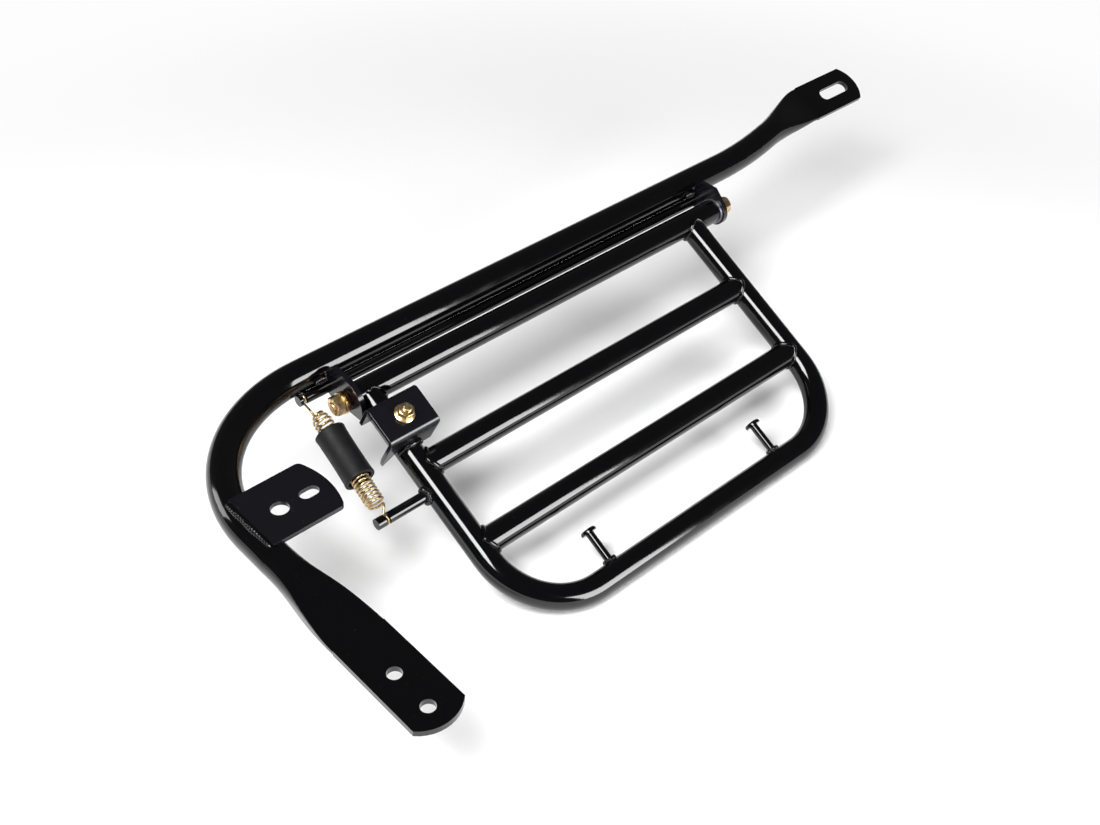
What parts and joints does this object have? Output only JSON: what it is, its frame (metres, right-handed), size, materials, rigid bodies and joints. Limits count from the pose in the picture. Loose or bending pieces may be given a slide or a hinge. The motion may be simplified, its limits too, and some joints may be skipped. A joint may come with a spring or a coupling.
{
  "type": "folding luggage rack",
  "caption": "Side-mounted folding luggage rack of bent black steel tube; a barred loop platform swings up on a long hinge under an over-centre spring.",
  "frame": {"origin": "centre of the foot's two bolt holes, midway through the pressed tube", "axes": "+Y up the leg to the rail, +X along the rail to the slotted end, +Z out of the frame's plane on the side the platform folds up to"},
  "size_m": [0.7328, 0.3151, 0.1241],
  "materials": {
    "black_gloss_enamel": "gloss baked enamel on bent steel tube",
    "black_plate_enamel": "half-gloss baked enamel on steel sheet",
    "enamelled_weld": "gloss enamel over rippled weld metal",
    "yellow_zinc": "yellow passivated zinc on steel fasteners",
    "bare_zinc": "plain zinc on a pressed steel washer",
    "dark_bronze_zinc": "dark brown passivated zinc",
    "bearing_nylon": "plain turned nylon",
    "zinc_spring_wire": "yellow passivated zinc on drawn spring wire",
    "black_rubber": "matt extruded rubber"
  },
  "bodies": {
    "frame": {"main_tube": "black_gloss_enamel", "mount_plate": "black_plate_enamel", "mount_plate_weld": "enamelled_weld", "left_ear": "black_plate_enamel", "right_ear": "black_plate_enamel", "ear_welds": "enamelled_weld", "spring_anchor_rod": "black_gloss_enamel", "anchor_rod_welds": "enamelled_weld", "hinge_thrust_washer": "bare_zinc", "hinge_bolt": "yellow_zinc", "hinge_head_washer": "yellow_zinc", "hinge_spring_washer": "yellow_zinc", "hinge_inner_nut": "dark_bronze_zinc", "hinge_nut_washer": "yellow_zinc", "hinge_lock_nut": "yellow_zinc"},
    "platform": {"hinge_tube": "black_gloss_enamel", "hinge_bushes": "bearing_nylon", "platform_loop": "black_gloss_enamel", "inner_crossbar": "black_gloss_enamel", "outer_crossbar": "black_gloss_enamel", "platform_welds": "enamelled_weld", "strap_pins": "black_gloss_enamel", "strap_pin_welds": "enamelled_weld", "spring_pin": "black_gloss_enamel", "spring_pin_weld": "enamelled_weld", "stop_bracket": "black_plate_enamel", "stop_bracket_welds": "enamelled_weld", "stop_screw": "yellow_zinc", "stop_flange_nut": "yellow_zinc"},
    "spring_top": {"spring_upper": "zinc_spring_wire", "spring_sleeve": "black_rubber"},
    "spring_bottom": {"spring_lower": "zinc_spring_wire"}
  },
  "joints": [
    {"name": "platform_fold", "type": "hinge", "parent": "frame", "child": "platform", "pos_m": [0.29315, 0.2217, -0.008], "axis": [-1, 0, 0], "range_deg": [0, 117]},
    {"name": "spring_top_swing", "type": "hinge", "parent": "frame", "child": "spring_top", "pos_m": [0.1, 0.24394, -0.01013], "axis": [-1, 0, 0], "range_deg": [-0.5, 96.11], "deforming": ["spring_upper"]},
    {"name": "spring_bottom_swing", "type": "hinge", "parent": "platform", "child": "spring_bottom", "pos_m": [0.0934, 0.14791, -0.04599], "axis": [-1, 0, 0], "range_deg": [-21.89, 0.5], "deforming": ["spring_lower"]}
  ],
  "couplings": [
    {"joint": "spring_top_swing", "follows": "platform_fold", "ratio": 0.81721},
    {"joint": "spring_bottom_swing", "follows": "platform_fold", "ratio": -0.18279}
  ]
}
